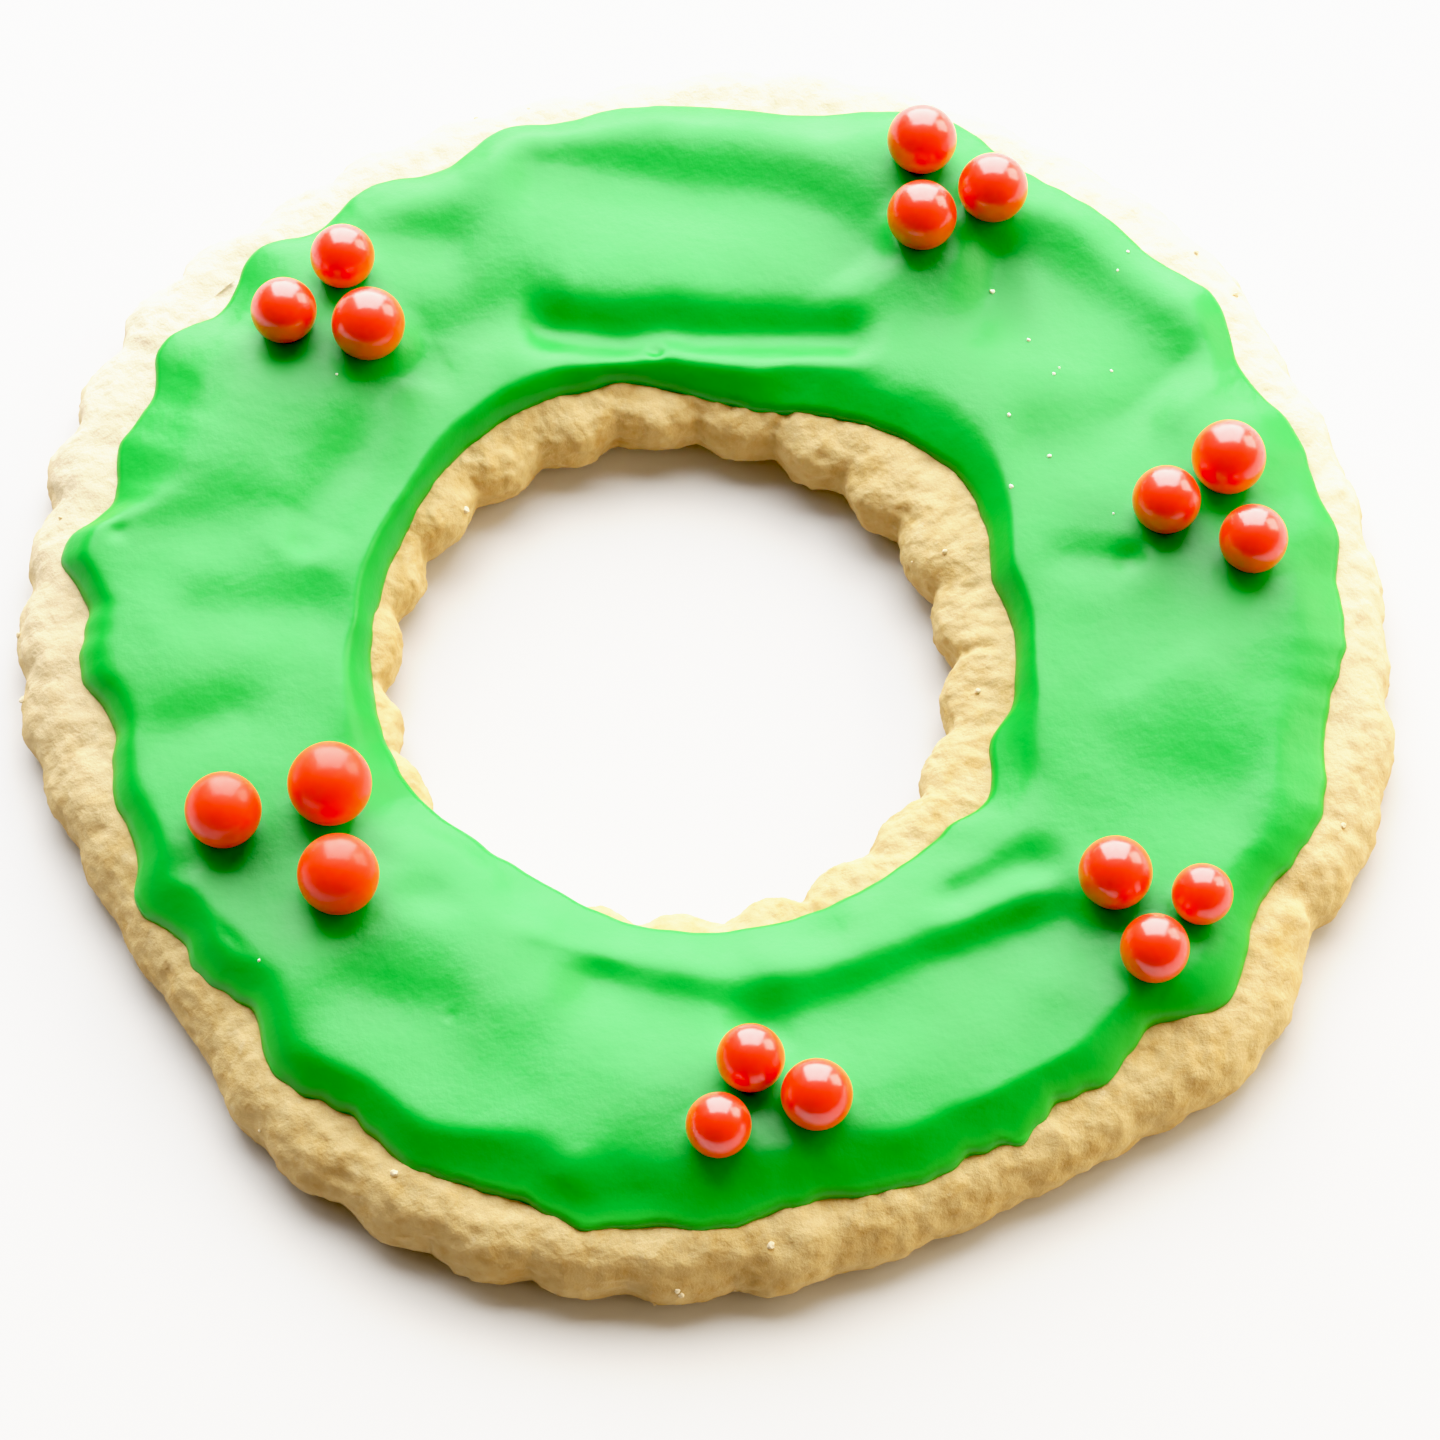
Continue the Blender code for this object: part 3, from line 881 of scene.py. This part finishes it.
def icingFinish():
    look = icing["look"]
    material, tree, shader, spot = newFinish(
        "greenIcing", Specular_IOR_Level=0.31, Subsurface_Weight=0.22, Subsurface_Scale=0.0011,
        Subsurface_Radius=(0.25, 1.0, 0.35))
    patch = noiseAt(tree, spot, look["patches"], 4.4, 3.0, 0.5)
    colour = blendColours(tree, spread(tree, patch, -0.3, 0.3), look["deep"], look["light"])
    grain = noiseAt(tree, spot, look["grains"], 6.1, 3.0, 0.6)
    colour = blendColours(tree, spread(tree, grain, 0.0, 0.35, 0.0, 0.25), colour, look["grain"])
    # lighter along the near edge: thin icing over the crust, and a painted reflection of the floor
    thinAndReflected = addNode(tree, "ShaderNodeAttribute", attribute_name="thinRimAndReflection").outputs["Fac"]
    colour = blendColours(tree, times(tree, thinAndReflected, look["thinAndReflectedShare"]), colour, look["thinAndReflected"])
    feed(tree, shader.inputs["Base Color"], colour)
    sheen = noiseAt(tree, spot, look["sheens"], 8.0)
    roughness = spread(tree, sheen, -0.3, 0.3, look["smoothest"], look["dullest"])
    feed(tree, shader.inputs["Roughness"], roughness)
    dents = noiseAt(tree, spot, look["dents"], 9.0, 4.0, 0.55)
    roughen(tree, shader, dents, look["dentHeight"], look["dentStrength"])
    return material


icingMaterial = icingFinish()
icingPiece = makeIcing(icingMaterial)
print("icing made:", len(icingPiece.data.polygons), "faces")


# pearls

pearl = {
    "Radius": 0.0023,
    "Unevenness": 0.022,         # share of the radius
    "Slow scale": 260.0,         # for each metre
    "Fine scale": 1300.0,
    "Fine share": 0.22,
    "Seed": 1.0,
    "Detail": 5,                 # times the ball's faces are split
    "lustre": {
        "body": (1.0, 0.026, 0.002, 1),
        "fringe": (1.0, 0.5, 0.25, 1),
        "roughness": 0.4,
        "coat": 0.9,
        "coatIndex": 1.65,
    },
    "matt": {
        "body": (0.985, 0.034, 0.003, 1),
        "fringe": (1.0, 0.5, 0.1, 1),
        "roughness": 0.45,
        "coat": 0.5,
        "coatIndex": 1.4,
    },
    "mattClusters": ("left",),   # the others have a pearly lustre
    "look": {
        "patches": 600.0,        # for each metre, as the grain
        "patchShade": 0.82,
        "patchDulling": 0.08,
        "grain": 2500.0,
        "grainHeight": 0.00003,  # m
        "grainStrength": 0.4,
    },
}


def pearlTree():
    tree, take = newTree("sugarPearl", pearl)
    values = {"Radius": take["Radius"], "Subdivisions": take["Detail"]}
    ball = addNode(tree, "GeometryNodeMeshIcoSphere", values)
    spot = position(tree)
    slow = noiseAt(tree, spot, take["Slow scale"], take["Seed"], 1.0)
    fine = times(tree, noiseAt(tree, spot, take["Fine scale"], take["Seed"], 1.0), take["Fine share"])
    push = times(tree, plus(tree, slow, fine), take["Unevenness"])
    uneven = pushed(tree, ball.outputs[0], spot, push)
    soft = addNode(tree, "GeometryNodeSetShadeSmooth", {"Geometry": uneven})
    endTree(tree, soft.outputs[0], take["Finish"])
    return tree


def pearlFinish(name):
    kind, look = pearl[name], pearl["look"]
    material, tree, shader, spot = newFinish(
        name + "Pearl", Coat_Weight=kind["coat"], Coat_Roughness=0.18, Coat_IOR=kind["coatIndex"],
        Specular_IOR_Level=0.3, Sheen_Weight=0.05, Sheen_Tint=kind["fringe"], Sheen_Roughness=0.35,
        Subsurface_Weight=0.6, Subsurface_Scale=0.0016, Subsurface_Radius=(1.0, 0.25, 0.1))
    patch = noiseAt(tree, spot, look["patches"], 2.0, 2.0)
    darker = tuple(look["patchShade"] * c for c in kind["body"][:3]) + (1,)
    colour = blendColours(tree, spread(tree, patch, -0.3, 0.3), kind["body"], darker)
    feed(tree, shader.inputs["Base Color"], colour)
    dullest = kind["roughness"] + look["patchDulling"]
    roughness = spread(tree, patch, -0.4, 0.4, kind["roughness"], dullest)
    feed(tree, shader.inputs["Roughness"], roughness)
    grain = noiseAt(tree, spot, look["grain"], 7.0, 2.0)
    roughen(tree, shader, grain, look["grainHeight"], look["grainStrength"])
    return material


def makePearls():
    tree = pearlTree()
    lustre = pearlFinish("lustre")
    matt = pearlFinish("matt")
    made = {}
    for number, name in enumerate(n for n in sorted(nodes) if n.startswith("pearl_")):
        low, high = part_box(name)
        cluster = name[len("pearl_"):-2]
        values = dict(pearl, Radius=(high.x - low.x) / 2.0, Seed=number * 3.1 + 0.5)
        finish = matt if cluster in pearl["mattClusters"] else lustre
        piece = grow("sugar_" + name, tree, values, finish)
        piece.data.transform(Matrix.Translation((low + high) / 2.0))
        made[name] = piece
    return made


pearlPieces = makePearls()
print("pearls made:", len(pearlPieces))


# sugar specks and crumbs

sugarSpecks = {
    "Smallest": 0.00007,         # m, radius
    "Largest": 0.0002,
    "Density": 60000.0,          # for each square metre
    "Patch X": 0.0315,           # m, where they lie thickest
    "Patch Y": 0.0225,
    "Patch Z": 0.0065,
    "Patch inside": 0.004,       # m from there
    "Patch outside": 0.021,
    "Share inside": 0.75,
    "Share outside": 0.03,
    "Least upward": 0.95,
    "Seed": 7,
    "look": {"pale": (0.9, 0.93, 0.85, 1), "stained": (0.55, 0.85, 0.5, 1)},
}
looseCrumbs = {
    "Smallest": 0.00008,
    "Largest": 0.00026,
    "Density": 17000.0,
    "Rim from": 0.0412,          # m from the middle
    "Hole wall to": 0.0195,
    "Off the floor": 0.0004,     # m
    "Seed": 12,
    "look": {"pale": (0.80, 0.68, 0.45, 1), "stained": (0.60, 0.42, 0.2, 1)},
}


def onIcing(tree, take):
    # upward faces, many more of them at the back right
    normal = addNode(tree, "GeometryNodeInputNormal").outputs[0]
    spot = position(tree)
    values = {"X": take["Patch X"], "Y": take["Patch Y"], "Z": take["Patch Z"]}
    patch = addNode(tree, "ShaderNodeCombineXYZ", values).outputs[0]
    away = vectors(tree, "DISTANCE", {0: spot, 1: patch})["Value"]
    close = spread(tree, away, take["Patch inside"], take["Patch outside"],
                   take["Share inside"], take["Share outside"], "LINEAR")
    luck = addNode(tree, "FunctionNodeRandomValue", {"Seed": 3}, data_type="FLOAT").outputs[1]
    kept = calc(tree, "LESS_THAN", luck, close)
    return times(tree, kept, calc(tree, "GREATER_THAN", axes(tree, normal)[2], take["Least upward"]))


def onRim(tree, take):
    # the walls and the bare edge of the biscuit, clear of the floor
    spot = position(tree)
    radius = vectors(tree, "LENGTH", {0: spot})["Value"]
    rim = calc(tree, "GREATER_THAN", radius, take["Rim from"])
    wall = calc(tree, "LESS_THAN", radius, take["Hole wall to"])
    high = calc(tree, "GREATER_THAN", axes(tree, spot)[2], take["Off the floor"])
    return times(tree, plus(tree, rim, wall), high)


def scatterTree(name, inputs, select):
    # bits of one kind lie on the chosen faces, each a few dozen faces
    tree, take = newTree(name, inputs)
    values = {"Mesh": take["Geometry"], "Selection": select(tree, take), "Density": take["Density"],
              "Seed": take["Seed"]}
    strewn = addNode(tree, "GeometryNodeDistributePointsOnFaces", values)
    bit = addNode(tree, "GeometryNodeMeshIcoSphere", {"Radius": 1.0, "Subdivisions": 2})
    spot = position(tree)
    craggy = times(tree, noiseAt(tree, spot, 1.1, 2.0, 1.0), 1.5)
    cragged = pushed(tree, bit.outputs[0], spot, craggy)
    values = {2: take["Smallest"], 3: take["Largest"], "Seed": take["Seed"]}
    size = addNode(tree, "FunctionNodeRandomValue", values, data_type="FLOAT").outputs[1]
    values = {1: (6.28, 6.28, 6.28), "Seed": 5}
    tumble = addNode(tree, "FunctionNodeRandomValue", values, data_type="FLOAT_VECTOR").outputs[0]
    values = {"Points": strewn.outputs["Points"], "Instance": cragged, "Rotation": tumble, "Scale": size}
    laid = addNode(tree, "GeometryNodeInstanceOnPoints", values)
    endTree(tree, laid.outputs[0], take["Finish"])
    return tree


def bitFinish(name, look, patches, reach, **values):
    # small bits, stained in patches
    material, tree, shader, spot = newFinish(name, **values)
    stain = spread(tree, noiseAt(tree, spot, patches, 1.0), -reach, reach)
    feed(tree, shader.inputs["Base Color"], blendColours(tree, stain, look["pale"], look["stained"]))
    return material


sugarMaterial = bitFinish("whiteSugar", sugarSpecks["look"], 800.0, 0.3, Roughness=0.3,
                          Subsurface_Weight=0.2, Subsurface_Scale=0.0003)
crumbMaterial = bitFinish("biscuitCrumb", looseCrumbs["look"], 900.0, 0.25, Roughness=0.7)
sugarTree = scatterTree("strewnSugar", sugarSpecks, onIcing)
crumbTree = scatterTree("strewnCrumbs", looseCrumbs, onRim)
specks = grow("sugarSpecks", sugarTree, sugarSpecks, sugarMaterial, icingPiece.data.copy())
crumbs = grow("looseCrumbs", crumbTree, looseCrumbs, crumbMaterial, biscuitPiece.data.copy())
print("specks made:", len(specks.data.polygons), "faces; crumbs:", len(crumbs.data.polygons), "faces")


# floor, light and camera

studio = {
    "floorSize": 3.0,
    "floorColour": (0.62, 0.62, 0.62, 1),
    "floorPatches": 6.0,         # for each metre
    "floorShade": 0.985,
    "skyColour": (1.0, 0.72, 0.45, 1),
    "skyStrength": 0.14,
    "lightDistance": 0.9,
    "lights": {
        # behind the cookie; turn is degrees from +X, rise is degrees above the floor
        "window": {"turn": 88.0, "rise": 36.0, "wide": 1.1, "tall": 1.25, "power": 31.5,
                   "colour": (0.98, 0.985, 0.99), "shine": True},
        # low, weaker and warmer
        "right": {"turn": 30.0, "rise": 22.0, "wide": 0.45, "tall": 0.55, "power": 4.2,
                  "colour": (1.0, 0.93, 0.82), "shine": True},
        # these two only soften shadows and leave no shine
        "fill": {"turn": 0.0, "rise": 18.0, "wide": 1.2, "tall": 0.7, "power": 8.5,
                 "colour": (1.0, 0.78, 0.5), "shine": False},
        "left": {"turn": 130.0, "rise": 32.0, "wide": 0.9, "tall": 0.6, "power": 5.0,
                 "colour": (1.0, 0.965, 0.92), "shine": False},
    },
}
tone = {
    "black": 0.016,
    "brightest": 1.8,            # light that comes out nearly white
    "shoulder": [(0.84, 0.84), (1.1, 0.925)],      # light in, light out
    "top": 0.97,
}
view = {
    "turn": -90.0,               # degrees from +X: in front of the cookie
    "rise": 62.0,                # degrees above the floor
    "fieldOfView": 14.0,
    "distance": 0.3677,
    "nearest": 0.01,
    "aim": (0.00108, -0.00361, 0.0),
}


def outward(turn, rise, distance):
    turn, rise = math.radians(turn), math.radians(rise)
    flat = math.cos(rise) * distance
    return Vector((flat * math.cos(turn), flat * math.sin(turn), math.sin(rise) * distance))


def makeLight(name, values):
    lamp = bpy.data.lights.new(name, "AREA")
    lamp.shape = "RECTANGLE"
    lamp.size = values["wide"]
    lamp.size_y = values["tall"]
    lamp.energy = values["power"]
    lamp.color = values["colour"]
    light = bpy.data.objects.new(name, lamp)
    light.location = outward(values["turn"], values["rise"], studio["lightDistance"])
    light.rotation_euler = (-light.location).to_track_quat("-Z", "Y").to_euler()
    light.visible_glossy = values["shine"]
    bpy.context.scene.collection.objects.link(light)


def makeStudio():
    mesh = bpy.data.meshes.new("floor")
    half = studio["floorSize"] / 2.0
    corners = [(-half, -half, 0), (half, -half, 0), (half, half, 0), (-half, half, 0)]
    mesh.from_pydata(corners, [], [(0, 1, 2, 3)])
    material, tree, shader, spot = newFinish("paleFloor", Roughness=0.55, Specular_IOR_Level=0.2)
    patch = noiseAt(tree, spot, studio["floorPatches"], 3.0)
    shade = tuple(studio["floorShade"] * c for c in studio["floorColour"][:3]) + (1,)
    feed(tree, shader.inputs["Base Color"],
         blendColours(tree, spread(tree, patch, -0.3, 0.3), studio["floorColour"], shade))
    mesh.materials.append(material)
    floor = place("floor", mesh)
    world = bpy.data.worlds.new("softRoom")
    world.use_nodes = True
    sky = world.node_tree.nodes["Background"]
    sky.inputs["Color"].default_value = studio["skyColour"]
    sky.inputs["Strength"].default_value = studio["skyStrength"]
    bpy.context.scene.world = world
    for name, values in studio["lights"].items():
        makeLight(name, values)
    return floor


def makeCamera():
    lens = bpy.data.cameras.new("camera")
    lens.angle = math.radians(view["fieldOfView"])
    lens.clip_start = view["nearest"]
    camera = bpy.data.objects.new("camera", lens)
    camera.location = Vector(view["aim"]) + outward(view["turn"], view["rise"], view["distance"])
    tip, swing = math.radians(90.0 - view["rise"]), math.radians(view["turn"] + 90.0)
    camera.rotation_euler = (tip, 0.0, swing)
    bpy.context.scene.collection.objects.link(camera)
    bpy.context.scene.camera = camera


def setTone():
    look = bpy.context.scene.view_settings
    look.view_transform = "Standard"
    look.use_curve_mapping = True
    curves = look.curve_mapping
    curves.black_level = (tone["black"],) * 3
    curves.white_level = (tone["brightest"],) * 3
    line = curves.curves[3]
    for lightIn, lightOut in tone["shoulder"]:
        line.points.new(lightIn / tone["brightest"], lightOut)
    line.points[-1].location = (1.0, tone["top"])
    curves.update()


floorPiece = makeStudio()
makeCamera()
setTone()
print("studio made")


# what each piece rides on, and the frame parts it replaces

def settle(piece, slot, *replaced):
    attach(piece, body)
    if replaced:
        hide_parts(*replaced)


settle(biscuitPiece, "biscuit", "cookie")
settle(icingPiece, "icing", "icing")
for name, piece in pearlPieces.items():
    settle(piece, "pearl", name)
settle(specks, "icing")
settle(crumbs, "biscuit")
